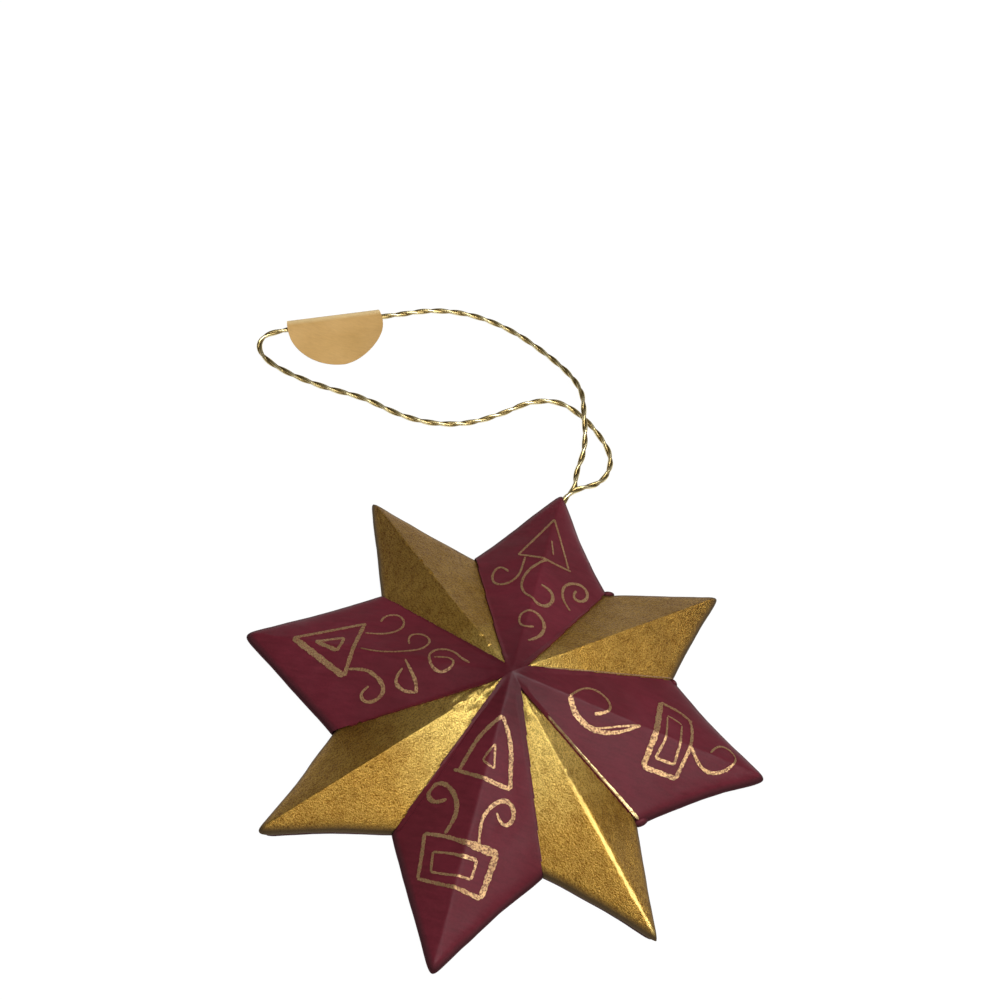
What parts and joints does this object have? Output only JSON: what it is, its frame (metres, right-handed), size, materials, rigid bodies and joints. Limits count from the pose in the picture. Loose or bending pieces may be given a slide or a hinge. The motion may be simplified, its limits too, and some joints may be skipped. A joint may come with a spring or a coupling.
{
  "type": "tin star ornament",
  "caption": "Hollow faceted tin star hanging ornament with alternating maroon painted and gilt points, a loop of twisted gold cord and a folded paper tag.",
  "frame": {"origin": "centre of the back sheet's underside, where the star lies on a table", "axes": "+Z out of the star's face, +Y towards the point that holds the hanging cord, +X to the right seen from the front"},
  "size_m": [0.1116, 0.1281, 0.0148],
  "materials": {
    "maroon_paint": "satin hand-painted maroon with gilt brush strokes",
    "gold_leaf": "burnished gilt, slightly pitted",
    "back_paint": "satin maroon paint",
    "solder": "dull solder",
    "gold_cord": "twisted metallic cord",
    "tag_paper": "buff coated paper"
  },
  "bodies": {
    "star": {"maroon_point_top": "maroon_paint", "maroon_point_left": "maroon_paint", "maroon_point_bottom": "maroon_paint", "maroon_point_right": "maroon_paint", "gold_point_upper_left": "gold_leaf", "gold_point_lower_left": "gold_leaf", "gold_point_lower_right": "gold_leaf", "gold_point_upper_right": "gold_leaf", "back_plate": "back_paint", "valley_solder_1": "solder", "valley_solder_2": "solder", "valley_solder_3": "solder", "valley_solder_4": "solder", "valley_solder_5": "solder", "valley_solder_6": "solder", "valley_solder_7": "solder", "valley_solder_8": "solder", "rim_solder_1": "solder", "rim_solder_2": "solder", "rim_solder_3": "solder", "rim_solder_4": "solder", "rim_solder_5": "solder", "rim_solder_6": "solder", "rim_solder_7": "solder", "rim_solder_8": "solder", "hub_solder": "solder", "cord_knot": "gold_cord"},
    "hanger": {"cord_loop": "gold_cord"},
    "tag": {"paper_tag": "tag_paper"}
  },
  "joints": [
    {"name": "hanger_lift", "type": "hinge", "parent": "star", "child": "hanger", "pos_m": [0, 0.047, 0.0013], "axis": [1, 0, 0], "range_deg": [0, 120]},
    {"name": "tag_turn", "type": "hinge", "parent": "hanger", "child": "tag", "pos_m": [-0.05295, 0.0712, 0.00089], "axis": [-0.8751, -0.4839, 0], "range_deg": [0, 180]}
  ]
}
